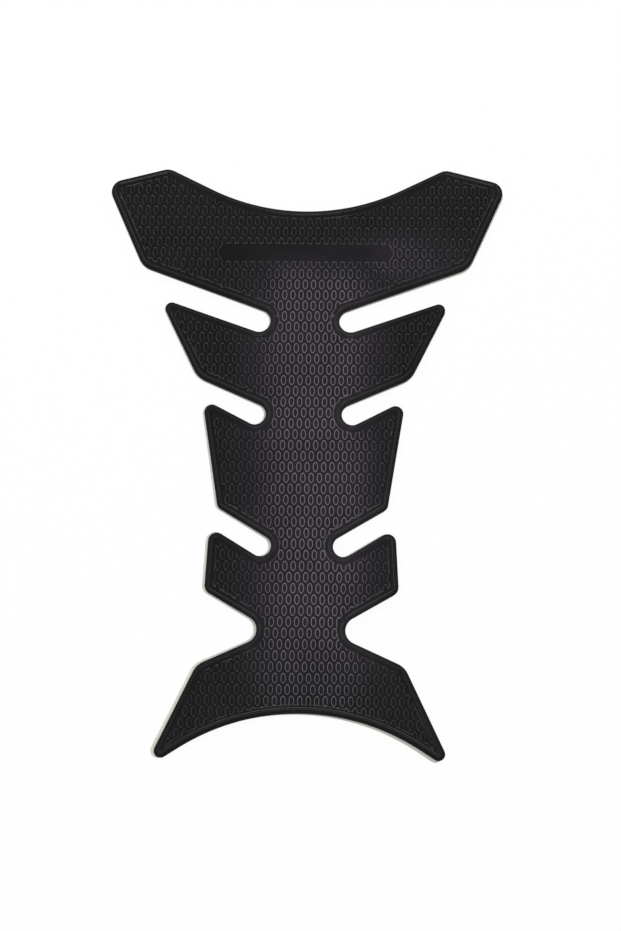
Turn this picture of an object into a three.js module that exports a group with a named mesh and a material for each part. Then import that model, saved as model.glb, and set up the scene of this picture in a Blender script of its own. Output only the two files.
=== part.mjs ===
// Tank pad for a motorcycle: a moulded rubber pad with a field of raised oval studs, on the
// self-adhesive backing sheet that holds it to the tank.
// Millimetres. +Z points away from the tank, +Y towards the pad's wide end, X runs across.

import * as THREE from 'three';
import { mergeVertices } from 'three/addons/utils/BufferGeometryUtils.js';

// Outline: straight edges tangent to round corners. Each corner is the circle it is rounded with.
// OUT is an outer corner, IN the round end of a slot or notch. This is the right half, from the
// bottom to the top, and the left half mirrors it.
const OUT = 1;
const IN = -1;
const TOE = { x: 47.6, y: -102.5, r: 2.3, turn: OUT };
const FOOT = { x: 30.5, y: -78.5, r: 7.3, turn: OUT };
const WAIST = { x: 20.2, y: -60.6, r: 4.8, turn: IN };
const FOURTH_WING_HEEL = { x: 30.5, y: -45.4, r: 3.2, turn: OUT };
const FOURTH_WING_TIP = { x: 29.8, y: -29.9, r: 3.0, turn: OUT };
const THIRD_SLOT = { x: 14.5, y: -31.4, r: 3.7, turn: IN };
const THIRD_WING_HEEL = { x: 27.3, y: -16.3, r: 2.7, turn: OUT };
const THIRD_WING_TIP = { x: 32.3, y: 15.8, r: 2.8, turn: OUT };
const SECOND_SLOT = { x: 17.2, y: 15.4, r: 3.8, turn: IN };
const SECOND_WING_HEEL = { x: 31.5, y: 35.1, r: 8.6, turn: OUT };
const SECOND_WING_TIP = { x: 47.5, y: 53.3, r: 2.3, turn: OUT };
const FIRST_SLOT = { x: 16.3, y: 49.2, r: 4.1, turn: IN };
const FIRST_WING_HEEL = { x: 53.0, y: 74.6, r: 7.2, turn: OUT };
const SHOULDER = { x: 65.9, y: 96.6, r: 4.4, turn: OUT };
const PEAK = { x: 50.2, y: 100.1, r: 4.9, turn: OUT };
const CORNERS = [
  TOE, FOOT, WAIST, FOURTH_WING_HEEL, FOURTH_WING_TIP, THIRD_SLOT, THIRD_WING_HEEL, THIRD_WING_TIP,
  SECOND_SLOT, SECOND_WING_HEEL, SECOND_WING_TIP, FIRST_SLOT, FIRST_WING_HEEL, SHOULDER, PEAK,
];
// The two long concave edges: how far the middle lies back from the centres of the corners at the
// ends, and how long the edge runs straight before those corners.
const BOTTOM_EDGE = { dip: 13.2, straight: 5.4 };
const TOP_EDGE = { dip: 10.5, straight: 15.8 };
// How far a flat facet may cut inside the round it stands for.
const FACET_ERROR = 0.2;
const SLIVER_AREA = 1e-6;
const SLIVER_PASSES = 5;

// Section of the rubber, from the edge inwards.
const BACKING_THICKNESS = 0.4;
const PAD_THICKNESS = 2.8;
const WALL_HEIGHT = 1.3;
const SHOULDER_INSET = 0.5;
const SHOULDER_DROP = 0.6;
const CREST_INSET = 1.5;
const BORDER_WIDTH = 2.7;

// Field of studs: staggered rows of pointed ovals with grooves between them.
const STUD_PITCH = 2.914;
const ROW_PITCH = 3.878;
const FIRST_ROW = -3.58;
const STUD_WIDTH = 2.0;
const STUD_LENGTH = 3.7;
const GROOVE_DEPTH = 0.4;

// Smooth bar across the widest part of the field, kept bare.
const BAR = { length: 61, height: 6.3, y: 74.0 };

// The backing sheet is cut a little larger than the rubber and laid a little askew.
const BACKING_MARGIN = 0.3;
const BACKING_SKEW = THREE.MathUtils.degToRad(-0.3);
const BACKING_PIVOT = 95;

const RUBBER = new THREE.MeshStandardMaterial({ color: 0x232225, roughness: 0.5, metalness: 0 });
const BACKING = new THREE.MeshStandardMaterial({ color: 0xded9cf, roughness: 0.85, metalness: 0 });

// Circle of a concave edge: it passes through the edge's middle and touches the straight run, of the
// given length, that ends at the corner. Outwards is -1 at the bottom and 1 at the top.
function concaveCircle({ dip, straight }, corner, outwards) {
  const r = (corner.x ** 2 + dip ** 2 - corner.r ** 2 - straight ** 2) / (2 * (corner.r + dip));
  return { x: 0, y: corner.y + outwards * (r - dip), r, turn: IN };
}

// The right half's circles in order, with the two long concave edges at its ends.
function outlineCircles() {
  return [concaveCircle(BOTTOM_EDGE, TOE, -1), ...CORNERS, concaveCircle(TOP_EDGE, PEAK, 1)];
}

// Angle, seen from both circles' centres, at which the straight edge between them touches each:
// the outward normal n of that edge meets n . (b - a) = turnA rA - turnB rB.
function edgeNormalAngle(a, b) {
  const across = Math.atan2(b.y - a.y, b.x - a.x);
  const reach = Math.hypot(b.x - a.x, b.y - a.y);
  return across - Math.acos((a.turn * a.r - b.turn * b.r) / reach);
}

// Points of the outline moved inwards by inset, counter-clockwise. Every inset gives as many points.
function outlineLoop(inset) {
  const circles = outlineCircles();
  const half = [];
  circles.forEach((circle, k) => {
    const first = k === 0;
    const last = k === circles.length - 1;
    const flip = circle.turn === OUT ? 0 : Math.PI;
    const from = first ? Math.PI / 2 : edgeNormalAngle(circles[k - 1], circle) + flip;
    const to = last ? -Math.PI / 2 : edgeNormalAngle(circle, circles[k + 1]) + flip;
    const full = 2 * Math.PI;
    const forward = ((to - from) * circle.turn % full + full) % full;
    const step = 2 * Math.acos(1 - FACET_ERROR / circle.r);
    const count = Math.max(1, Math.ceil(forward / step));
    const radius = Math.max(circle.r - circle.turn * inset, 0.1);
    for (let i = first ? 1 : 0; i <= (last ? count - 1 : count); i += 1) {
      const angle = from + circle.turn * forward * i / count;
      half.push(new THREE.Vector2(circle.x + radius * Math.cos(angle), circle.y + radius * Math.sin(angle)));
    }
  });
  const bottom = new THREE.Vector2(0, circles[0].y + circles[0].r + inset);
  const top = new THREE.Vector2(0, circles.at(-1).y - circles.at(-1).r - inset);
  const mirrored = half.map((p) => new THREE.Vector2(-p.x, p.y)).reverse();
  return [bottom, ...half, top, ...mirrored];
}

function isInside(point, loop) {
  let inside = false;
  loop.forEach((a, k) => {
    const b = loop[(k + 1) % loop.length];
    const spans = (a.y > point.y) !== (b.y > point.y);
    if (spans && point.x < (b.x - a.x) * (point.y - a.y) / (b.y - a.y) + a.x) inside = !inside;
  });
  return inside;
}

// A growing list of triangles that becomes one closed body.
class Skin {
  constructor() {
    this.numbers = [];
  }

  triangle(a, b, c) {
    this.numbers.push(a.x, a.y, a.z, b.x, b.y, b.z, c.x, c.y, c.z);
  }

  // Wall between two loops of equally many points, the second one above or inside the first.
  wall(lower, lowerZ, upper, upperZ) {
    lower.forEach((p, k) => {
      const next = (k + 1) % lower.length;
      const a = at(p, lowerZ);
      const b = at(lower[next], lowerZ);
      const c = at(upper[next], upperZ);
      const d = at(upper[k], upperZ);
      this.triangle(a, b, c);
      this.triangle(a, c, d);
    });
  }

  // Flat face inside a loop and outside its holes, facing up or down.
  face(loop, holes, z, up) {
    const points = [loop, ...holes].flat();
    const triangles = fillLoops(loop, holes, points);
    const area = triangles.reduce((sum, triangle) => sum + doubleArea(points, triangle), 0);
    triangles.forEach(([i, j, k]) => {
      const [a, b, c] = [points[i], points[j], points[k]].map((p) => at(p, z));
      if ((area > 0) === up) this.triangle(a, b, c);
      else this.triangle(a, c, b);
    });
  }

  mesh(name, material) {
    const soup = new THREE.BufferGeometry();
    soup.setAttribute('position', new THREE.Float32BufferAttribute(this.numbers, 3));
    const geometry = mergeVertices(soup, 1e-4);
    geometry.computeVertexNormals();
    const mesh = new THREE.Mesh(geometry, material);
    mesh.name = name;
    return mesh;
  }
}

function at(point, z) {
  return new THREE.Vector3(point.x, point.y, z);
}

function doubleArea(points, [i, j, k]) {
  const [a, b, c] = [points[i], points[j], points[k]];
  return (b.x - a.x) * (c.y - a.y) - (b.y - a.y) * (c.x - a.x);
}

// Triangles between a loop and its holes. Where three corners lie in one line, the sliver between
// them and the triangle beyond its long side are parted along their other diagonal.
function fillLoops(loop, holes, points) {
  const triangles = THREE.ShapeUtils.triangulateShape(loop, holes);
  const isSliver = (triangle) => Math.abs(doubleArea(points, triangle)) < SLIVER_AREA;
  for (let pass = 0; pass < SLIVER_PASSES && triangles.some(isSliver); pass += 1) {
    const owner = new Map();
    triangles.forEach((t, index) => t.forEach((i, k) => owner.set(`${i},${t[(k + 1) % 3]}`, index)));
    triangles.filter(isSliver).forEach((sliver) => {
      const length = (k) => points[sliver[k]].distanceTo(points[sliver[(k + 1) % 3]]);
      const longest = [0, 1, 2].reduce((best, k) => (length(k) > length(best) ? k : best), 0);
      const [i, j, k] = [0, 1, 2].map((step) => sliver[(longest + step) % 3]);
      const beyond = triangles[owner.get(`${j},${i}`)];
      if (!beyond || isSliver(beyond)) return;
      const m = beyond.find((corner) => corner !== i && corner !== j);
      sliver.splice(0, 3, i, m, k);
      beyond.splice(0, 3, m, j, k);
      [[i, m], [m, k], [k, i]].forEach(([a, b]) => owner.set(`${a},${b}`, triangles.indexOf(sliver)));
      [[m, j], [j, k], [k, m]].forEach(([a, b]) => owner.set(`${a},${b}`, triangles.indexOf(beyond)));
    });
  }
  return triangles;
}

// Corners of the hexagon of ground nearest to a stud, counter-clockwise from the right.
function studGround(centre) {
  const half = STUD_PITCH / 2;
  const peak = (ROW_PITCH ** 2 + half ** 2) / (2 * ROW_PITCH);
  const eave = ROW_PITCH - peak;
  const corners = [[half, -eave], [half, eave], [0, peak], [-half, eave], [-half, -eave], [0, -peak]];
  return corners.map(([x, y]) => new THREE.Vector2(centre.x + x, centre.y + y));
}

// Studs whose whole ground lies inside the border and clear of the bar.
function studCentres() {
  const border = outlineLoop(BORDER_WIDTH);
  const highest = Math.max(...border.map((p) => p.y));
  const widest = Math.max(...border.map((p) => p.x));
  const reach = Math.ceil(highest / ROW_PITCH) + 2;
  const columns = Math.ceil(widest / STUD_PITCH) + 1;
  const centres = [];
  for (let row = -reach; row <= reach; row += 1) {
    const stagger = row % 2 === 0 ? 0.5 : 0;
    for (let column = -columns; column <= columns; column += 1) {
      const x = (column + stagger) * STUD_PITCH;
      const y = FIRST_ROW + row * ROW_PITCH;
      const centre = new THREE.Vector2(x, y);
      const onBar = Math.abs(x) < BAR.length / 2 && Math.abs(y - BAR.y) < BAR.height / 2;
      if (!onBar && studGround(centre).every((corner) => isInside(corner, border))) centres.push(centre);
    }
  }
  return centres;
}

const keyOf = (p) => `${Math.round(p.x * 1000)},${Math.round(p.y * 1000)}`;

// Loops of the grounds' edges that only one stud has: the rim of the field, and of the bar in it.
function fieldRims(grounds) {
  const edges = new Map();
  grounds.forEach((ground) => ground.forEach((p, k) => {
    const q = ground[(k + 1) % ground.length];
    edges.set(`${keyOf(p)} ${keyOf(q)}`, [p, q]);
  }));
  const next = new Map();
  edges.forEach(([p, q]) => {
    if (!edges.has(`${keyOf(q)} ${keyOf(p)}`)) next.set(keyOf(p), [p, q]);
  });
  const rims = [];
  while (next.size > 0) {
    const rim = [];
    let key = next.keys().next().value;
    while (next.has(key)) {
      const [p, q] = next.get(key);
      next.delete(key);
      rim.push(p);
      key = keyOf(q);
    }
    rims.push(rim);
  }
  return rims;
}

// One stud: a flat pointed top, and sides that fall to the grooves it shares with its neighbours.
// On the field's rim the groove has run out, and the side is level with the border.
function addStud(skin, centre, ground, rimKeys, top) {
  const [right, crown, left, base] = [
    [STUD_WIDTH / 2, 0], [0, STUD_LENGTH / 2], [-STUD_WIDTH / 2, 0], [0, -STUD_LENGTH / 2],
  ].map(([x, y]) => new THREE.Vector3(centre.x + x, centre.y + y, top));
  const [lowRight, highRight, peak, highLeft, lowLeft, foot] = ground
    .map((p) => at(p, rimKeys.has(keyOf(p)) ? top : top - GROOVE_DEPTH));
  skin.triangle(base, right, crown);
  skin.triangle(base, crown, left);
  skin.triangle(lowRight, highRight, right);
  skin.triangle(right, highRight, crown);
  skin.triangle(highRight, peak, crown);
  skin.triangle(crown, peak, highLeft);
  skin.triangle(crown, highLeft, left);
  skin.triangle(highLeft, lowLeft, left);
  skin.triangle(left, lowLeft, base);
  skin.triangle(lowLeft, foot, base);
  skin.triangle(base, foot, lowRight);
  skin.triangle(base, lowRight, right);
}

function buildPad() {
  const skin = new Skin();
  const floor = BACKING_THICKNESS;
  const top = floor + PAD_THICKNESS;
  const edge = outlineLoop(0);
  const shoulder = outlineLoop(SHOULDER_INSET);
  const crest = outlineLoop(CREST_INSET);
  skin.face(edge, [], floor, false);
  skin.wall(edge, floor, edge, floor + WALL_HEIGHT);
  skin.wall(edge, floor + WALL_HEIGHT, shoulder, top - SHOULDER_DROP);
  skin.wall(shoulder, top - SHOULDER_DROP, crest, top);

  const centres = studCentres();
  const grounds = centres.map(studGround);
  const rims = fieldRims(grounds);
  const outer = rims.filter((rim) => THREE.ShapeUtils.area(rim) > 0);
  const inner = rims.filter((rim) => THREE.ShapeUtils.area(rim) < 0);
  skin.face(crest, outer, top, true);
  inner.forEach((rim) => skin.face(rim, [], top, true));
  const rimKeys = new Set(rims.flat().map(keyOf));
  centres.forEach((centre, k) => addStud(skin, centre, grounds[k], rimKeys, top));
  return skin.mesh('pad', RUBBER);
}

function buildBacking() {
  const skin = new Skin();
  const pivot = new THREE.Vector2(0, BACKING_PIVOT);
  const loop = outlineLoop(-BACKING_MARGIN).map((p) => p.clone().rotateAround(pivot, BACKING_SKEW));
  skin.face(loop, [], 0, false);
  skin.wall(loop, 0, loop, BACKING_THICKNESS);
  skin.face(loop, [], BACKING_THICKNESS, true);
  return skin.mesh('adhesive_backing', BACKING);
}

// The frame's origin is the middle of the underside's box.
const tankPad = new THREE.Group();
tankPad.add(buildPad(), buildBacking());
const middle = new THREE.Box3().setFromObject(tankPad).getCenter(new THREE.Vector3());
tankPad.position.set(-middle.x, -middle.y, 0);

export default tankPad;
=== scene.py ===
"""Tank pad of a motorcycle: a moulded rubber pad with a field of raised oval studs, on its adhesive sheet.

Lengths in the classes are millimetres, and a mesh is put into metres where it is made. The pad lies on
its back: +Z points out of the studded face, +Y to the wide end.
"""
import logging
import math
from dataclasses import dataclass, field
from enum import Enum

import bpy
import numpy as np
from mathutils import Matrix, Vector
from mathutils.geometry import delaunay_2d_cdt
from mathutils.kdtree import KDTree


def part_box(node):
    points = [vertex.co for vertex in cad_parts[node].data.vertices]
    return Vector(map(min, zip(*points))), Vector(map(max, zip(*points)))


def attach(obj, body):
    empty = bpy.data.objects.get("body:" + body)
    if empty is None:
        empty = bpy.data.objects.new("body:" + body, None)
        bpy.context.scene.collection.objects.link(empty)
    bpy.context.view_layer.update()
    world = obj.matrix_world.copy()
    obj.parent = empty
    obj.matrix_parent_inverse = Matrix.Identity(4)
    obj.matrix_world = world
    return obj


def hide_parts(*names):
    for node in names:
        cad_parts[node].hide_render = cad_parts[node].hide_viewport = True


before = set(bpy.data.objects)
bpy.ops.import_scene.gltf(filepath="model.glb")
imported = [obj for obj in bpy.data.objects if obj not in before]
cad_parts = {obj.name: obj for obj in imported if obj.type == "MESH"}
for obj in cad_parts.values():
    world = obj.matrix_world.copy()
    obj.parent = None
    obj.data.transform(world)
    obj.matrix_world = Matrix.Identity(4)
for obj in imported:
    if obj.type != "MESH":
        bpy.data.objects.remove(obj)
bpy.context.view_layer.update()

LOG = logging.getLogger("tank_pad")
MM = 0.001
BODY = "root"
MATT = "matt"
# Attribute with the painted sheen and painted highlights.
PAINTED_LIGHT = "tone"
KEEP_INSIDE = 1
MERGE_GAP = 1e-7


class Turn(Enum):
    """Which way the outline bends round a corner circle."""

    OUT = 1
    IN = -1


class Slot(Enum):
    """The record's material slots."""

    RUBBER = "rubber"
    BACKING = "backing"


@dataclass(frozen=True)
class Corner:
    """A circle that the outline runs round, on the right half."""

    x: float
    y: float
    r: float
    turn: Turn


@dataclass(frozen=True)
class Loop:
    """Points round the outline, counter-clockwise, with the angle of the outward normal at each."""

    points: np.ndarray
    angles: np.ndarray

    def outward(self) -> np.ndarray:
        """Unit outward normals, one row for each point."""
        return np.column_stack([np.cos(self.angles), np.sin(self.angles)])


@dataclass(frozen=True)
class Outline:
    """Straight edges tangent to round corners, mirrored left and right.

    The circles run from the bottom edge's large one up the right side to the top edge's large one.
    """

    bottom_apex: float = -89.3
    bottom_radius: float = 77.6
    top_apex: float = 89.6
    top_radius: float = 76.5
    corners: tuple[Corner, ...] = (
        Corner(47.6, -102.5, 2.3, Turn.OUT),
        Corner(30.5, -78.5, 7.3, Turn.OUT),
        Corner(20.2, -60.6, 4.8, Turn.IN),
        Corner(30.5, -45.4, 3.2, Turn.OUT),
        Corner(29.8, -29.9, 3.0, Turn.OUT),
        Corner(14.5, -31.4, 3.7, Turn.IN),
        Corner(27.3, -16.3, 2.7, Turn.OUT),
        Corner(32.3, 15.8, 2.8, Turn.OUT),
        Corner(17.2, 15.4, 3.8, Turn.IN),
        Corner(31.5, 35.1, 8.6, Turn.OUT),
        Corner(47.5, 53.3, 2.3, Turn.OUT),
        Corner(16.3, 49.2, 4.1, Turn.IN),
        Corner(53.0, 74.6, 7.2, Turn.OUT),
        Corner(65.9, 96.6, 4.4, Turn.OUT),
        Corner(50.2, 100.1, 4.9, Turn.OUT),
    )
    least_radius: float = 0.15
    widest_arc_step: float = math.radians(12)

    def circles(self) -> np.ndarray:
        """Rows of centre x, centre y, radius and turn, with the two large circles at the ends."""
        bottom = [0.0, self.bottom_apex - self.bottom_radius, self.bottom_radius, -1.0]
        top = [0.0, self.top_apex + self.top_radius, self.top_radius, -1.0]
        rows = [[c.x, c.y, c.r, float(c.turn.value)] for c in self.corners]
        return np.array([bottom, *rows, top])

    def arcs(self, circles: np.ndarray) -> tuple[np.ndarray, np.ndarray]:
        """Start angle and signed sweep of the arc on each circle.

        The outward normal n of the edge between circles a and b meets n . (b - a) = turn_a r_a - turn_b r_b,
        so it stands at the angle of (b - a) less the arc cosine of that length over the reach from a to b.
        """
        centre, signed = circles[:, :2], circles[:, 2] * circles[:, 3]
        step = np.diff(centre, axis=0)
        reach = np.hypot(step[:, 0], step[:, 1])
        normal = np.arctan2(step[:, 1], step[:, 0]) - np.arccos(-np.diff(signed) / reach)
        flip = np.where(circles[:, 3] > 0, 0.0, math.pi)
        start = np.concatenate([[math.pi / 2], normal + flip[1:]])
        end = np.concatenate([normal + flip[:-1], [-math.pi / 2]])
        sweep = np.mod((end - start) * circles[:, 3], 2 * math.pi) * circles[:, 3]
        return start, sweep

    def loop(self, inset: float | np.ndarray = 0.0, spacing: float = 1.0) -> Loop:
        """The outline moved inwards.

        Args:
            inset: how far, for the whole outline or for each circle.
            spacing: the longest step between points on the outline itself. The count of points hangs on
                it alone, so loops of any inset pair up.

        Returns:
            The closed loop, starting at the middle of the bottom edge.
        """
        circles = self.circles()
        start, sweep = self.arcs(circles)
        radii = np.maximum(circles[:, 2] - circles[:, 3] * inset, self.least_radius)
        arc_points, arc_angles = [], []
        for k, (x, y, r, turn) in enumerate(circles):
            angle_step = min(spacing / r, self.widest_arc_step)
            count = max(2, math.ceil(abs(sweep[k]) / angle_step) + 1)
            angle = start[k] + sweep[k] * np.linspace(0, 1, count)
            arc_points.append(np.column_stack([x + radii[k] * np.cos(angle), y + radii[k] * np.sin(angle)]))
            arc_angles.append(angle if turn > 0 else angle + math.pi)
        lengths = self.edge_lengths(circles, start, sweep)
        points, angles = [arc_points[0]], [arc_angles[0]]
        for k, length in enumerate(lengths):
            count = max(1, math.ceil(length / spacing))
            share = np.arange(1, count)[:, None] / count
            a, b = arc_points[k][-1], arc_points[k + 1][0]
            points += [a + (b - a) * share, arc_points[k + 1]]
            angles += [np.full(count - 1, arc_angles[k][-1]), arc_angles[k + 1]]
        half, turned = np.vstack(points), np.concatenate(angles)
        mirror = half[-2:0:-1] * [-1, 1]
        return Loop(np.vstack([half, mirror]), np.concatenate([turned, math.pi - turned[-2:0:-1]]))

    @staticmethod
    def edge_lengths(circles: np.ndarray, start: np.ndarray, sweep: np.ndarray) -> np.ndarray:
        """Length of the straight edge from each circle to the next."""
        x, y, r = circles[:, 0], circles[:, 1], circles[:, 2]
        end = start + sweep
        leave = np.column_stack([x + r * np.cos(end), y + r * np.sin(end)])[:-1]
        meet = np.column_stack([x + r * np.cos(start), y + r * np.sin(start)])[1:]
        return np.hypot(*(meet - leave).T)


@dataclass(frozen=True)
class EdgeSection:
    """Section of the pad's rim, from the underside round to the plateau inside the lip."""

    foot_round: float = 0.12
    round_width: float = 1.3
    round_height: float = 1.25
    lip_width: float = 1.4
    lip_fall: float = 0.3
    lip_height: float = 0.125
    rounding_steps: int = 8
    fall_steps: int = 4
    bottom_stretch: float = 1.35
    matt_tilt: tuple[float, float] = (0.0, math.radians(22))

    def rows(self, low: float, high: float) -> np.ndarray:
        """Rows of inset, height and tilt of the normal from straight up, outwards positive.

        A small round at the foot, an upright wall, a quarter of an ellipse, and the lip's inner side, an
        S curve t * t * (3 - 2 t) that falls to the plateau.

        Args:
            low: height of the underside.
            high: height of the lip.
        """
        turn = np.linspace(0, math.pi / 2, self.rounding_steps + 1)
        rounding = np.column_stack([
            self.round_width * (1 - np.cos(turn)),
            high - self.round_height * (1 - np.sin(turn)),
            np.arctan2(np.cos(turn) / self.round_width, np.sin(turn) / self.round_height),
        ])
        t = np.linspace(0, 1, self.fall_steps + 1)
        fall = np.column_stack([
            self.lip_width + self.lip_fall * t,
            high - self.lip_height * t * t * (3 - 2 * t),
            -np.arctan(6 * t * (1 - t) * self.lip_height / self.lip_fall),
        ])
        foot = [[self.foot_round, low, math.radians(135)], [0.0, low + self.foot_round, math.pi / 2]]
        return np.vstack([foot, rounding, fall])

    def matt(self, tilt: np.ndarray) -> np.ndarray:
        """How matt the skin is, from 0 on the satin face to 1 on the side, where the mould is rough."""
        t = np.clip((tilt - self.matt_tilt[0]) / (self.matt_tilt[1] - self.matt_tilt[0]), 0.0, 1.0)
        return t * t * (3 - 2 * t)

    def stretch(self, circles: int) -> np.ndarray:
        """How much wider the lip is at each circle of the outline: more along the bottom edge."""
        factor = np.ones(circles)
        factor[:2] = self.bottom_stretch
        return factor


def fade(distance: np.ndarray, start: float, end: float) -> np.ndarray:
    """1 up to the start and 0 from the end on, with 1 - t * t * (3 - 2 t) between them."""
    t = np.clip((distance - start) / (end - start), 0.0, 1.0)
    return 1 - t * t * (3 - 2 * t)


@dataclass(frozen=True)
class StudField:
    """Staggered rows of oval studs, standing in a groove inside the border line."""

    pitch: float = 2.914
    row_pitch: float = 3.878
    first_row: float = -3.58
    top_half: tuple[float, float] = (0.58, 1.38)
    foot_half: tuple[float, float] = (1.02, 1.90)
    depth: float = 0.26
    border: float = 2.8
    border_wall: float = 0.45
    steps_round: int = 20
    rings: int = 3
    newton_steps: int = 6
    least_relief: float = 0.68
    # The middle column and a patch right of the bar are moulded deeper and get a painted sheen and brighter
    # painted highlights.
    column_middle: float = 4.0
    column_fade: tuple[float, float] = (8.0, 36.0)
    top_fade: tuple[float, float] = (60.0, 84.0)
    foot_fade: tuple[float, float] = (50.0, 105.0)
    patch_middle: tuple[float, float] = (34.0, 72.0)
    patch_half: tuple[float, float] = (32.0, 16.0)
    patch_core: float = 0.2
    patch_share: float = 0.7
    # Painted sheen on the middle column's flats, as a share of the tone ramp.
    painted_flat_sheen: float = 0.5
    # Least painted highlight on the stud walls, away from the middle column.
    least_painted_wall_highlight: float = 0.16
    least_slope: float = 1e-3
    fall_limits: tuple[float, float] = (-0.9, 4.0)

    def column(self, points: np.ndarray) -> np.ndarray:
        """Share from 0 on the wings to 1 in the middle column, moulded deeper and with a painted sheen.

        It fades on both sides of the column and above the bar, and rises again in a patch right of the bar.
        """
        beside = fade(np.abs(points[:, 0] - self.column_middle), *self.column_fade)
        above = fade(points[:, 1], *self.top_fade)
        offset = (points - self.patch_middle) / self.patch_half
        patch = fade(np.hypot(offset[:, 0], offset[:, 1]), self.patch_core, 1.0)
        return np.maximum(beside * above, self.patch_share * patch)

    def tone(self, points: np.ndarray, wall: np.ndarray) -> np.ndarray:
        """Tone of the rubber from 0, dark, to 1, pale: a painted sheen of half the column's share on the
        flats, less at the foot, and painted highlights on the walls, strongest in the column.

        Args:
            points: where, on the face.
            wall: how far each point is on a wall, from 0 on the flats to 1 half way down.
        """
        column = self.column(points)
        # Painted sheen on the flats, and painted highlights on the walls.
        flat = self.painted_flat_sheen * column * fade(-points[:, 1], *self.foot_fade)
        steep = self.least_painted_wall_highlight + (1 - self.least_painted_wall_highlight) * column
        return flat + wall * (steep - flat)

    def relief(self, points: np.ndarray) -> np.ndarray:
        """Depth of the groove's floor below the plateau."""
        return self.depth * (self.least_relief + (1 - self.least_relief) * self.column(points))

    def sites(self, reach: tuple[float, float]) -> np.ndarray:
        """Centres of all studs in a rectangle of that half width and half height."""
        rows = np.arange(-math.ceil(reach[1] / self.row_pitch) - 1, math.ceil(reach[1] / self.row_pitch) + 2)
        columns = np.arange(-math.ceil(reach[0] / self.pitch) - 1, math.ceil(reach[0] / self.pitch) + 2)
        column, row = np.meshgrid(columns, rows)
        stagger = np.where(row % 2 == 0, 0.5, 0.0)
        return np.column_stack([
            ((column + stagger) * self.pitch).ravel(),
            (self.first_row + row * self.row_pitch).ravel(),
        ])

    def halves(self, t: np.ndarray) -> tuple[np.ndarray, np.ndarray]:
        """Half width and half height of the oval at each share t from the top's edge to the foot."""
        (narrow, short), (wide, long) = self.top_half, self.foot_half
        return narrow + (wide - narrow) * t, short + (long - short) * t

    def grid(self, centres: np.ndarray) -> np.ndarray:
        """Points of every stud: its centre and ovals at equal shares t from the top's edge to the foot.

        An oval is (a cos u, b sin u) with a and b going straight from the top's halves to the foot's.
        """
        t = np.linspace(0, 1, self.rings)[:, None]
        u = (np.arange(self.steps_round) + 0.5) * 2 * math.pi / self.steps_round
        a, b = self.halves(t)
        oval = np.column_stack([(a * np.cos(u)).ravel(), (b * np.sin(u)).ravel()])
        template = np.vstack([[0.0, 0.0], oval])
        return (centres[:, None, :] + template[None, :, :]).reshape(-1, 2)

    def nearest(self, points: np.ndarray) -> np.ndarray:
        """Offset of each point from the stud whose ground it lies on, in the row below or above it."""
        below = np.floor((points[:, 1] - self.first_row) / self.row_pitch)
        offsets, sizes = [], []
        for row in (below, below + 1):
            stagger = np.where(row % 2 == 0, 0.5, 0.0)
            x = (np.round(points[:, 0] / self.pitch - stagger) + stagger) * self.pitch
            offset = points - np.column_stack([x, self.first_row + row * self.row_pitch])
            offsets.append(offset)
            sizes.append(np.hypot(offset[:, 0] / self.foot_half[0], offset[:, 1] / self.foot_half[1]))
        return np.where((sizes[1] < sizes[0])[:, None], offsets[1], offsets[0])

    def rate(self, x: np.ndarray, y: np.ndarray, t: np.ndarray) -> np.ndarray:
        """How fast (x / a)^2 + (y / b)^2 changes with t, kept below zero."""
        a, b = self.halves(t)
        wider, longer = self.foot_half[0] - self.top_half[0], self.foot_half[1] - self.top_half[1]
        return np.minimum(-2 * (x ** 2 * wider / a ** 3 + y ** 2 * longer / b ** 3), -self.least_slope)

    def fall(self, points: np.ndarray) -> tuple[np.ndarray, np.ndarray]:
        """How far down a stud's side each point lies, from 0 at the top's edge to 1 at its foot.

        It is the t whose oval (x / a(t))^2 + (y / b(t))^2 = 1 runs through the point, found by Newton steps.

        Returns:
            t, negative on the top, and its gradient.
        """
        offset = self.nearest(points)
        x, y = np.abs(offset).T
        t = np.full(len(points), 0.5)
        for _ in range(self.newton_steps):
            a, b = self.halves(t)
            value = (x / a) ** 2 + (y / b) ** 2 - 1
            t = np.clip(t - value / self.rate(x, y, t), *self.fall_limits)
        a, b = self.halves(t)
        across = np.column_stack([-2 * offset[:, 0] / a ** 2, -2 * offset[:, 1] / b ** 2])
        return t, across / self.rate(x, y, t)[:, None]


@dataclass(frozen=True)
class PlainBar:
    """Smooth raised bar across the widest part of the field, with round ends."""

    length: float = 61.0
    height: float = 6.3
    y: float = 74.0
    corner: float = 2.0
    wall: float = 0.45
    spacing: float = 0.45
    corner_points: int = 8

    def distance(self, points: np.ndarray) -> tuple[np.ndarray, np.ndarray]:
        """Distance outside the bar's round-cornered rectangle, negative inside it, and its gradient."""
        half = np.array([self.length / 2 - self.corner, self.height / 2 - self.corner])
        local = points - [0.0, self.y]
        beyond = np.abs(local) - half
        outside = np.maximum(beyond, 0.0)
        reach = np.hypot(outside[:, 0], outside[:, 1])
        inner = np.minimum(beyond.max(axis=1), 0.0)
        gradient = np.where(reach[:, None] > 0, outside / np.maximum(reach, 1e-9)[:, None], 0.0)
        return reach + inner - self.corner, gradient * np.sign(local)

    def ring(self, out: float) -> np.ndarray:
        """Points round the bar, moved outwards by that much: quarter circles and straight sides."""
        half = np.array([self.length / 2 - self.corner, self.height / 2 - self.corner])
        radius = self.corner + out
        quarter = np.linspace(0, math.pi / 2, self.corner_points)
        parts = []
        for k, (sx, sy) in enumerate(((1, 1), (-1, 1), (-1, -1), (1, -1))):
            angle = quarter + k * math.pi / 2
            centre = half * [sx, sy]
            parts.append(centre + radius * np.column_stack([np.cos(angle), np.sin(angle)]))
        points = []
        for k, part in enumerate(parts):
            a, b = part[-1], parts[(k + 1) % 4][0]
            count = max(1, math.ceil(np.hypot(*(b - a)) / self.spacing))
            points += [part, a + (b - a) * np.arange(1, count)[:, None] / count]
        return np.vstack(points) + [0.0, self.y]


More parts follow.
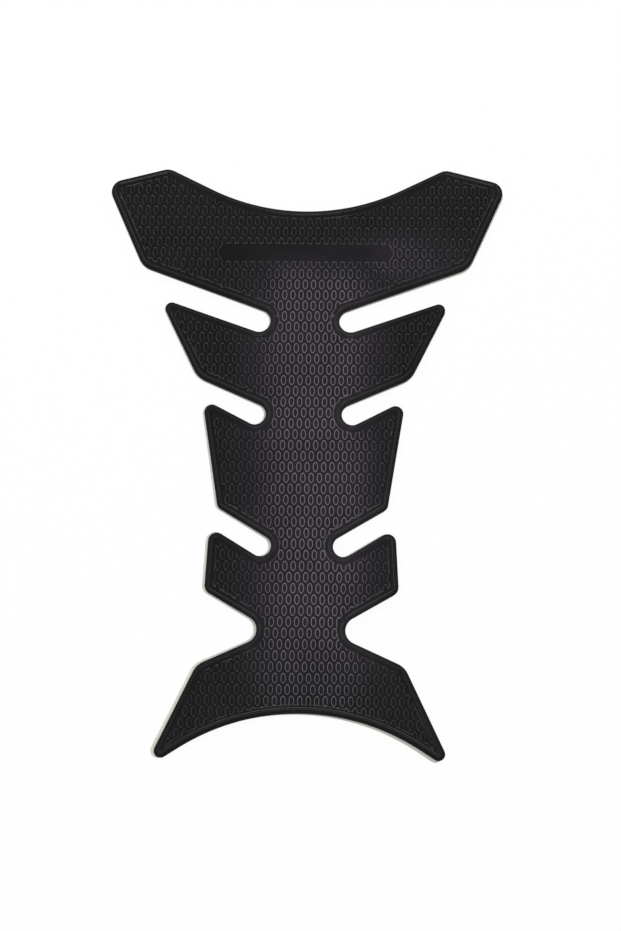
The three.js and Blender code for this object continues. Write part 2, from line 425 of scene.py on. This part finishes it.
def clean_mesh(
    name: str,
    points: np.ndarray,
    triangles: np.ndarray,
    material: bpy.types.Material,
    normals: np.ndarray | None = None,
    shares: dict[str, np.ndarray] | None = None,
) -> bpy.types.Object:
    """Makes an object at the origin from arrays.

    Args:
        name: the piece's name.
        points: corners, in metres.
        triangles: rows of three indices.
        material: its finish.
        normals: a normal for each corner, or None for flat shading.
        shares: values from 0 to 1 at the corners, by the name that the finish reads them by.
    """
    mesh = bpy.data.meshes.new(name)
    mesh.vertices.add(len(points))
    mesh.vertices.foreach_set("co", points.astype(np.float32).ravel())
    mesh.loops.add(triangles.size)
    mesh.loops.foreach_set("vertex_index", triangles.astype(np.int32).ravel())
    mesh.polygons.add(len(triangles))
    mesh.polygons.foreach_set("loop_start", np.arange(0, triangles.size, 3, dtype=np.int32))
    mesh.polygons.foreach_set("use_smooth", np.full(len(triangles), normals is not None))
    mesh.update(calc_edges=True)
    if normals is not None:
        mesh.normals_split_custom_set_from_vertices(normals.astype(np.float32))
    for key, values in (shares or {}).items():
        mesh.attributes.new(key, "FLOAT", "POINT").data.foreach_set("value", values.astype(np.float32))
    mesh.materials.append(material)
    piece = bpy.data.objects.new(name, mesh)
    bpy.context.scene.collection.objects.link(piece)
    return piece


def fill(loop: np.ndarray, inner: np.ndarray) -> tuple[np.ndarray, np.ndarray]:
    """Delaunay triangles inside a closed loop, through the loop's points and more points inside it.

    Returns:
        The points, the loop's own first and in order, and triangles that turn counter-clockwise.
    """
    stacked = np.vstack([loop, inner]) if len(inner) else loop
    coords = [Vector(p) for p in stacked.tolist()]
    made = delaunay_2d_cdt(coords, [], [list(range(len(loop)))], KEEP_INSIDE, MERGE_GAP)
    points = np.array([tuple(v) for v in made[0]])
    triangles = np.array(made[2])
    a, b, c = points[triangles[:, 0]], points[triangles[:, 1]], points[triangles[:, 2]]
    turn = (b - a)[:, 0] * (c - a)[:, 1] - (b - a)[:, 1] * (c - a)[:, 0]
    triangles[turn < 0] = triangles[turn < 0][:, ::-1]
    return points, triangles


def band(rows: int, count: int) -> np.ndarray:
    """Triangles of a closed tube of rows of count points each, row after row, facing outwards."""
    k = np.arange(count)
    after = (k + 1) % count
    first = (np.arange(rows - 1) * count)[:, None]
    low, low_next = first + k, first + after
    high, high_next = low + count, low_next + count
    return np.vstack([
        np.stack([low, low_next, high_next], axis=-1).reshape(-1, 3),
        np.stack([low, high_next, high], axis=-1).reshape(-1, 3),
    ])


@dataclass(frozen=True)
class RubberFinish:
    """Black moulded rubber: satin, with a fine grain and slow changes of tone and gloss, and matt sides."""

    dark: tuple[float, float, float] = (0.0036, 0.0034, 0.0037)
    # middle and pale are painted light: a purplish sheen for the middle column's flats and highlights on the
    # stud walls; dark is the rubber's own colour.
    middle: tuple[float, float, float] = (0.0138, 0.0114, 0.0150)
    pale: tuple[float, float, float] = (0.150, 0.141, 0.156)
    middle_at: float = 0.5
    ior: float = 1.5
    specular: float = 0.25
    cloud_span: tuple[float, float] = (0.3, 0.7)
    cloud_tone: tuple[float, float] = (0.85, 1.15)
    roughness: tuple[float, float] = (0.21, 0.27)
    side_roughness: float = 0.95
    grain_size: float = 0.22
    grain_depth: float = 0.0015
    cloud_size: float = 14.0

    def material(self) -> bpy.types.Material:
        """A ramp of three tones, two of them a painted sheen and painted highlights, a noise that shades
        them and the gloss, a fine one as the grain.
        """
        made = bpy.data.materials.new("moulded_rubber")
        made.use_nodes = True
        nodes, links = made.node_tree.nodes, made.node_tree.links
        shader = nodes["Principled BSDF"]
        shader.inputs["IOR"].default_value = self.ior
        shader.inputs["Specular IOR Level"].default_value = self.specular
        place = nodes.new("ShaderNodeTexCoord")
        clouds = nodes.new("ShaderNodeTexNoise")
        clouds.inputs["Scale"].default_value = 1 / (self.cloud_size * MM)
        clouds.inputs["Detail"].default_value = 5
        # The tone attribute carries the painted sheen and the painted highlights.
        share = nodes.new("ShaderNodeAttribute")
        share.attribute_name = PAINTED_LIGHT
        tones = nodes.new("ShaderNodeValToRGB")
        tones.color_ramp.elements[0].color = (*self.dark, 1)
        tones.color_ramp.elements[1].color = (*self.pale, 1)
        tones.color_ramp.elements.new(self.middle_at).color = (*self.middle, 1)
        cloud = nodes.new("ShaderNodeMapRange")
        cloud.inputs["From Min"].default_value = self.cloud_span[0]
        cloud.inputs["From Max"].default_value = self.cloud_span[1]
        cloud.inputs["To Min"].default_value = self.cloud_tone[0]
        cloud.inputs["To Max"].default_value = self.cloud_tone[1]
        tone = nodes.new("ShaderNodeVectorMath")
        tone.operation = "SCALE"
        gloss = nodes.new("ShaderNodeMapRange")
        gloss.inputs["To Min"].default_value = self.roughness[0]
        gloss.inputs["To Max"].default_value = self.roughness[1]
        gloss.inputs["From Min"].default_value = self.cloud_span[0]
        gloss.inputs["From Max"].default_value = self.cloud_span[1]
        side = nodes.new("ShaderNodeAttribute")
        side.attribute_name = MATT
        rough = nodes.new("ShaderNodeMapRange")
        rough.inputs["To Max"].default_value = self.side_roughness
        grain = nodes.new("ShaderNodeTexNoise")
        grain.inputs["Scale"].default_value = 1 / (self.grain_size * MM)
        grain.inputs["Detail"].default_value = 3
        bump = nodes.new("ShaderNodeBump")
        bump.inputs["Distance"].default_value = self.grain_depth * MM
        bump.inputs["Strength"].default_value = 1.0
        links.new(place.outputs["Object"], clouds.inputs["Vector"])
        links.new(place.outputs["Object"], grain.inputs["Vector"])
        links.new(share.outputs["Fac"], tones.inputs["Fac"])
        links.new(clouds.outputs["Fac"], cloud.inputs["Value"])
        links.new(tones.outputs["Color"], tone.inputs["Vector"])
        links.new(cloud.outputs["Result"], tone.inputs["Scale"])
        links.new(clouds.outputs["Fac"], gloss.inputs["Value"])
        links.new(tone.outputs["Vector"], shader.inputs["Base Color"])
        links.new(side.outputs["Fac"], rough.inputs["Value"])
        links.new(gloss.outputs["Result"], rough.inputs["To Min"])
        links.new(rough.outputs["Result"], shader.inputs["Roughness"])
        links.new(grain.outputs["Fac"], bump.inputs["Height"])
        links.new(bump.outputs["Normal"], shader.inputs["Normal"])
        return made


@dataclass(frozen=True)
class SheetFinish:
    """Pale matt release paper, with fibres and a faint mottle."""

    colour: tuple[float, float, float] = (0.74, 0.71, 0.65)
    mottle: tuple[float, float, float] = (0.66, 0.63, 0.57)
    roughness: float = 0.85
    mottle_size: float = 9.0
    fibre_size: float = 0.5
    fibre_depth: float = 0.01

    def material(self) -> bpy.types.Material:
        """A slow noise mixes two pale tones, and a fine one lifts the fibres."""
        made = bpy.data.materials.new("release_paper")
        made.use_nodes = True
        nodes, links = made.node_tree.nodes, made.node_tree.links
        shader = nodes["Principled BSDF"]
        shader.inputs["Roughness"].default_value = self.roughness
        place = nodes.new("ShaderNodeTexCoord")
        mottle = nodes.new("ShaderNodeTexNoise")
        mottle.inputs["Scale"].default_value = 1 / (self.mottle_size * MM)
        tone = nodes.new("ShaderNodeValToRGB")
        tone.color_ramp.elements[0].position = 0.35
        tone.color_ramp.elements[0].color = (*self.mottle, 1)
        tone.color_ramp.elements[1].position = 0.65
        tone.color_ramp.elements[1].color = (*self.colour, 1)
        fibre = nodes.new("ShaderNodeTexNoise")
        fibre.inputs["Scale"].default_value = 1 / (self.fibre_size * MM)
        fibre.inputs["Detail"].default_value = 4
        bump = nodes.new("ShaderNodeBump")
        bump.inputs["Distance"].default_value = self.fibre_depth * MM
        bump.inputs["Strength"].default_value = 1.0
        links.new(place.outputs["Object"], mottle.inputs["Vector"])
        links.new(place.outputs["Object"], fibre.inputs["Vector"])
        links.new(mottle.outputs["Fac"], tone.inputs["Fac"])
        links.new(tone.outputs["Color"], shader.inputs["Base Color"])
        links.new(fibre.outputs["Fac"], bump.inputs["Height"])
        links.new(bump.outputs["Normal"], shader.inputs["Normal"])
        return made


@dataclass
class RubberPad:
    """The moulded pad: rim, lip, plateau, grooves, studs and the plain bar, one closed skin."""

    node: str = "pad"
    outline: Outline = field(default_factory=Outline)
    section: EdgeSection = field(default_factory=EdgeSection)
    studs: StudField = field(default_factory=StudField)
    bar: PlainBar = field(default_factory=PlainBar)
    finish: RubberFinish = field(default_factory=RubberFinish)
    rim_spacing: float = 1.0
    border_spacing: float = 0.45
    # Painted highlight on the border's wall, as a share of the studs' painted highlight.
    painted_border_highlight: float = 0.5
    clearance: float = 0.05
    least_fall: float = 0.1

    def __post_init__(self) -> None:
        """Reads the CAD node's box, and works out where the outline lies in it."""
        low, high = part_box(self.node)
        self.low, self.high = low[2] / MM, high[2] / MM
        self.plateau = self.high - self.section.lip_height
        own = self.outline.loop().points
        middle = (own.max(axis=0) + own.min(axis=0)) / 2
        self.shift = np.array([(low[0] + high[0]) / 2, (low[1] + high[1]) / 2]) / MM - middle
        self.border_line = self.outline.loop(self.studs.border, self.border_spacing)
        self.border_tree = KDTree(len(self.border_line.points))
        for k, (x, y) in enumerate(self.border_line.points.tolist()):
            self.border_tree.insert((x, y, 0.0), k)
        self.border_tree.balance()

    def border_depth(self, points: np.ndarray) -> tuple[np.ndarray, np.ndarray]:
        """Distance inside the border line, and its gradient, from the nearest of the line's points."""
        near = np.array([self.border_tree.find((x, y, 0.0))[1] for x, y in points.tolist()])
        inward = -self.border_line.outward()[near]
        return ((points - self.border_line.points[near]) * inward).sum(axis=1), inward

    def face(self, points: np.ndarray) -> tuple[np.ndarray, np.ndarray, np.ndarray]:
        """Height, normal and share of wall, 4 t (1 - t), of the studded face at points inside the lip.

        The groove's floor is reached over three walls: the border's, the bar's and the studs'. Each gives a
        share from 0 on top to 1 on the floor; the least share t counts, and the face lies t * t * (3 - 2 t)
        of the relief below the plateau.
        """
        side, side_gradient = self.studs.fall(points)
        depth, depth_gradient = self.border_depth(points)
        out, out_gradient = self.bar.distance(points)
        shares = np.stack([side, depth / self.studs.border_wall, out / self.bar.wall])
        slopes = np.stack([
            side_gradient, depth_gradient / self.studs.border_wall, out_gradient / self.bar.wall,
        ])
        least = shares.argmin(axis=0)
        index = np.arange(len(points))
        t = np.clip(shares[least, index], 0.0, 1.0)
        gradient = slopes[least, index] * (6 * t * (1 - t))[:, None]
        depth = self.studs.relief(points)
        height = self.plateau - depth * t * t * (3 - 2 * t)
        normal = np.column_stack([depth[:, None] * gradient, np.ones(len(points))])
        # The wall share places the painted highlights; on the border's wall it is scaled down.
        wall = 4 * t * (1 - t) * np.where(least == 1, self.painted_border_highlight, 1.0)
        return height, normal / np.linalg.norm(normal, axis=1)[:, None], wall

    def face_points(self) -> np.ndarray:
        """Points where the studded face needs a corner: ovals of studs, and lines along border and bar."""
        half = np.abs(self.border_line.points).max(axis=0)
        sites = self.studs.sites((half[0], half[1]))
        depth, _ = self.border_depth(sites)
        sites = sites[depth > -self.studs.foot_half[1]]
        ovals = self.studs.grid(sites)
        inside, _ = self.border_depth(ovals)
        out, _ = self.bar.distance(ovals)
        ovals = ovals[(inside > self.clearance) & (out > self.clearance)]
        shares = np.linspace(0, 1, self.studs.rings)
        lines = [
            self.outline.loop(self.studs.border + t * self.studs.border_wall, self.border_spacing).points
            for t in shares
        ]
        lines += [self.bar.ring(t * self.bar.wall) for t in shares]
        lines = np.vstack(lines)
        side, _ = self.studs.fall(lines)
        return np.vstack([ovals, lines[side > self.least_fall]])

    def build(self) -> bpy.types.Object:
        """Carries the rim's section round the outline, and fills in the studded face and the underside."""
        rows = self.section.rows(self.low, self.high)
        stretch = self.section.stretch(len(self.outline.circles()))
        skin, normals = [], []
        for inset, height, tilt in rows:
            loop = self.outline.loop(inset * stretch, self.rim_spacing)
            skin.append(np.column_stack([loop.points, np.full(len(loop.points), height)]))
            flat = loop.outward() * math.sin(tilt)
            normals.append(np.column_stack([flat, np.full(len(flat), math.cos(tilt))]))
        count = len(skin[0])
        triangles = [band(len(rows), count)]

        rim = skin.pop()[:, :2]
        normals.pop()
        face, face_triangles = fill(rim, self.face_points())
        height, face_normals, wall = self.face(face)
        height[:count] = self.plateau
        face_normals[:count] = [0.0, 0.0, 1.0]
        triangles.append(face_triangles + count * (len(rows) - 1))
        skin.append(np.column_stack([face, height]))
        normals.append(face_normals)

        _, under = fill(skin[0][:, :2], np.empty((0, 2)))
        triangles.append(under[:, ::-1])
        points = (np.vstack(skin) + [*self.shift, 0.0]) * MM
        matt = np.zeros(len(points))
        matt[:count * len(rows)] = np.repeat(self.section.matt(rows[:, 2]), count)
        wall = np.concatenate([np.zeros(len(points) - len(wall)), wall])
        # The tone share paints a sheen on the middle column and highlights on the stud walls.
        shares = {MATT: matt, PAINTED_LIGHT: self.studs.tone(np.vstack(skin)[:, :2], wall)}
        return clean_mesh(
            "tank_pad_rubber", points, np.vstack(triangles), self.finish.material(),
            np.vstack(normals), shares,
        )

    def dress(self, piece: bpy.types.Object) -> None:
        """Hangs the piece under its body, and hides the CAD node that it stands for."""
        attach(piece, BODY)
        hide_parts(self.node)


@dataclass
class AdhesiveSheet:
    """The pale sheet on the pad's back, cut a little larger than the rubber and laid a little askew."""

    node: str = "adhesive_backing"
    outline: Outline = field(default_factory=Outline)
    finish: SheetFinish = field(default_factory=SheetFinish)
    margin: float = 0.3
    skew: float = math.radians(-0.3)
    pivot: float = 95.0
    edge_round: float = 0.05
    spacing: float = 1.0

    def build(self, shift: np.ndarray) -> bpy.types.Object:
        """Carries a thin, slightly rounded edge round the turned outline, and closes it above and below.

        Args:
            shift: where the pad's own middle lies in the frame.
        """
        low, high = (corner[2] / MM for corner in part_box(self.node))
        rows = [
            (self.edge_round, low), (0.0, low + self.edge_round),
            (0.0, high - self.edge_round), (self.edge_round, high),
        ]
        cos, sin = math.cos(self.skew), math.sin(self.skew)
        turn = np.array([[cos, sin], [-sin, cos]])
        skin = []
        for inset, height in rows:
            loop = self.outline.loop(inset - self.margin, self.spacing).points
            turned = (loop - [0.0, self.pivot]) @ turn + [0.0, self.pivot]
            skin.append(np.column_stack([turned, np.full(len(turned), height)]))
        count = len(skin[0])
        _, over = fill(skin[-1][:, :2], np.empty((0, 2)))
        _, under = fill(skin[0][:, :2], np.empty((0, 2)))
        triangles = np.vstack([band(len(rows), count), over + count * (len(rows) - 1), under[:, ::-1]])
        points = (np.vstack(skin) + [*shift, 0.0]) * MM
        return clean_mesh("adhesive_sheet", points, triangles, self.finish.material())

    def dress(self, piece: bpy.types.Object) -> None:
        """Hangs the piece under its body, and hides the CAD node that it stands for."""
        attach(piece, BODY)
        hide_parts(self.node)


@dataclass(frozen=True)
class Softbox:
    """Rectangular lamp that faces the pad. Degrees, azimuth 0 along +X and 90 along +Y, and metres."""

    name: str
    azimuth: float
    elevation: float
    width: float
    height: float
    brightness: float
    distance: float = 1.0

    def light(self) -> bpy.types.Object:
        """Hangs the lamp. Its power is four times its area times its brightness."""
        turn, rise = math.radians(self.azimuth), math.radians(self.elevation)
        back = Vector((math.cos(rise) * math.cos(turn), math.cos(rise) * math.sin(turn), math.sin(rise)))
        data = bpy.data.lights.new(self.name, "AREA")
        data.shape = "RECTANGLE"
        data.size, data.size_y = self.width, self.height
        data.energy = 4 * self.width * self.height * self.brightness
        made = bpy.data.objects.new(self.name, data)
        bpy.context.scene.collection.objects.link(made)
        made.location = back * self.distance
        made.rotation_euler = (-back).to_track_quat("-Z", "Y").to_euler()
        return made


@dataclass(frozen=True)
class Studio:
    """Plain pale floor, and soft boxes behind, on both sides and in front."""

    floor_size: float = 12.0
    floor_gap: float = 0.00005
    floor_colour: tuple[float, float, float] = (0.8, 0.8, 0.8)
    seen_white: float = 0.94
    room_light: float = 0.35
    lamps: tuple[Softbox, ...] = (
        Softbox("left_box", 178.0, 42.0, 1.0, 0.44, 2.0),
        Softbox("back_box", 88.0, 40.0, 1.4, 0.44, 2.6),
        Softbox("right_box", 10.0, 42.0, 0.8, 0.44, 1.3),
        Softbox("front_box", 271.0, 62.0, 0.36, 0.20, 8.0),
    )

    def floor_material(self) -> bpy.types.Material:
        """Pale and matt; to the camera and in reflections it is nearly white, and keeps the shadow.

        From below it is clear, so that the pad's back can be seen.
        """
        made = bpy.data.materials.new("studio_floor")
        made.use_nodes = True
        nodes, links = made.node_tree.nodes, made.node_tree.links
        nodes.clear()
        out = nodes.new("ShaderNodeOutputMaterial")
        matt = nodes.new("ShaderNodeBsdfDiffuse")
        matt.inputs["Color"].default_value = (*self.floor_colour, 1)
        glow = nodes.new("ShaderNodeEmission")
        glow.inputs["Strength"].default_value = 1.0
        path = nodes.new("ShaderNodeLightPath")
        glossy = nodes.new("ShaderNodeMath")
        glossy.operation = "MAXIMUM"
        seen = nodes.new("ShaderNodeMath")
        seen.operation = "MAXIMUM"
        share = nodes.new("ShaderNodeMath")
        share.operation = "MULTIPLY"
        share.inputs[1].default_value = self.seen_white
        mix = nodes.new("ShaderNodeMixShader")
        links.new(path.outputs["Is Camera Ray"], glossy.inputs[0])
        links.new(path.outputs["Is Glossy Ray"], glossy.inputs[1])
        links.new(glossy.outputs[0], seen.inputs[0])
        links.new(path.outputs["Is Transmission Ray"], seen.inputs[1])
        links.new(seen.outputs[0], share.inputs[0])
        links.new(share.outputs[0], mix.inputs["Fac"])
        links.new(matt.outputs[0], mix.inputs[1])
        links.new(glow.outputs[0], mix.inputs[2])
        clear = nodes.new("ShaderNodeBsdfTransparent")
        side = nodes.new("ShaderNodeNewGeometry")
        below = nodes.new("ShaderNodeMixShader")
        links.new(side.outputs["Backfacing"], below.inputs["Fac"])
        links.new(mix.outputs[0], below.inputs[1])
        links.new(clear.outputs[0], below.inputs[2])
        links.new(below.outputs[0], out.inputs["Surface"])
        return made

    def build(self) -> None:
        """Lays the floor, hangs the lamps and sets the room's own light."""
        half, low = self.floor_size / 2, -self.floor_gap
        corners = np.array([[-half, -half, low], [half, -half, low], [half, half, low], [-half, half, low]])
        floor = clean_mesh(
            "studio_floor", corners, np.array([[0, 1, 2], [0, 2, 3]]), self.floor_material()
        )
        for lamp in self.lamps:
            lamp.light()
        world = bpy.data.worlds.new("studio_room")
        bpy.context.scene.world = world
        world.use_nodes = True
        nodes, links = world.node_tree.nodes, world.node_tree.links
        room = nodes["Background"]
        room.inputs["Color"].default_value = (1, 1, 1, 1)
        path = nodes.new("ShaderNodeLightPath")
        strength = nodes.new("ShaderNodeMapRange")
        strength.inputs["To Min"].default_value = self.room_light
        strength.inputs["To Max"].default_value = 1.0
        links.new(path.outputs["Is Camera Ray"], strength.inputs["Value"])
        links.new(strength.outputs["Result"], room.inputs["Strength"])
        bpy.context.scene.view_settings.view_transform = "Standard"


@dataclass(frozen=True)
class PhotoCamera:
    """Camera at the photo's viewing angle: nearly straight down, from a little below the pad's middle."""

    place: tuple[float, float, float] = (16.40, -111.61, 644.17)
    aim: tuple[float, float, float] = (2.65, -3.10, 3.2)
    roll: float = math.radians(0.73)
    focal: float = 1857.0
    picture: tuple[int, int] = (621, 931)
    sensor: float = 36.0
    clip: tuple[float, float] = (0.01, 20.0)

    def build(self, shift: np.ndarray) -> None:
        """Puts the camera in place.

        The long side of the picture is its height, so the lens is focal / height of the sensor's long side.
        The roll turns the picture about the line of sight.

        Args:
            shift: where the pad's own middle lies in the frame.
        """
        data = bpy.data.cameras.new("photo_camera")
        data.sensor_fit = "AUTO"
        data.sensor_width = self.sensor
        data.lens = self.focal / max(self.picture) * self.sensor
        data.clip_start, data.clip_end = self.clip
        made = bpy.data.objects.new("photo_camera", data)
        bpy.context.scene.collection.objects.link(made)
        moved = Vector((*shift, 0.0))
        eye, aim = (Vector(self.place) + moved) * MM, (Vector(self.aim) + moved) * MM
        back = (eye - aim).normalized()
        right = Vector((0.0, 1.0, 0.0)).cross(back).normalized()
        up = back.cross(right)
        turned = right * math.cos(self.roll) + up * math.sin(self.roll)
        basis = Matrix((turned, back.cross(turned), back)).transposed().to_4x4()
        made.matrix_world = Matrix.Translation(eye) @ basis
        bpy.context.scene.camera = made


def main() -> None:
    """Builds the camera, the studio and the two pieces."""
    logging.basicConfig(level=logging.INFO, format="%(name)s: %(message)s")
    pad = RubberPad()
    PhotoCamera().build(pad.shift)
    Studio().build()
    rubber = pad.build()
    pad.dress(rubber)
    LOG.info("%s: %d triangles", rubber.name, len(rubber.data.polygons))
    sheet = AdhesiveSheet()
    paper = sheet.build(pad.shift)
    sheet.dress(paper)
    LOG.info("%s: %d triangles", paper.name, len(paper.data.polygons))


if __name__ == "__main__":
    main()
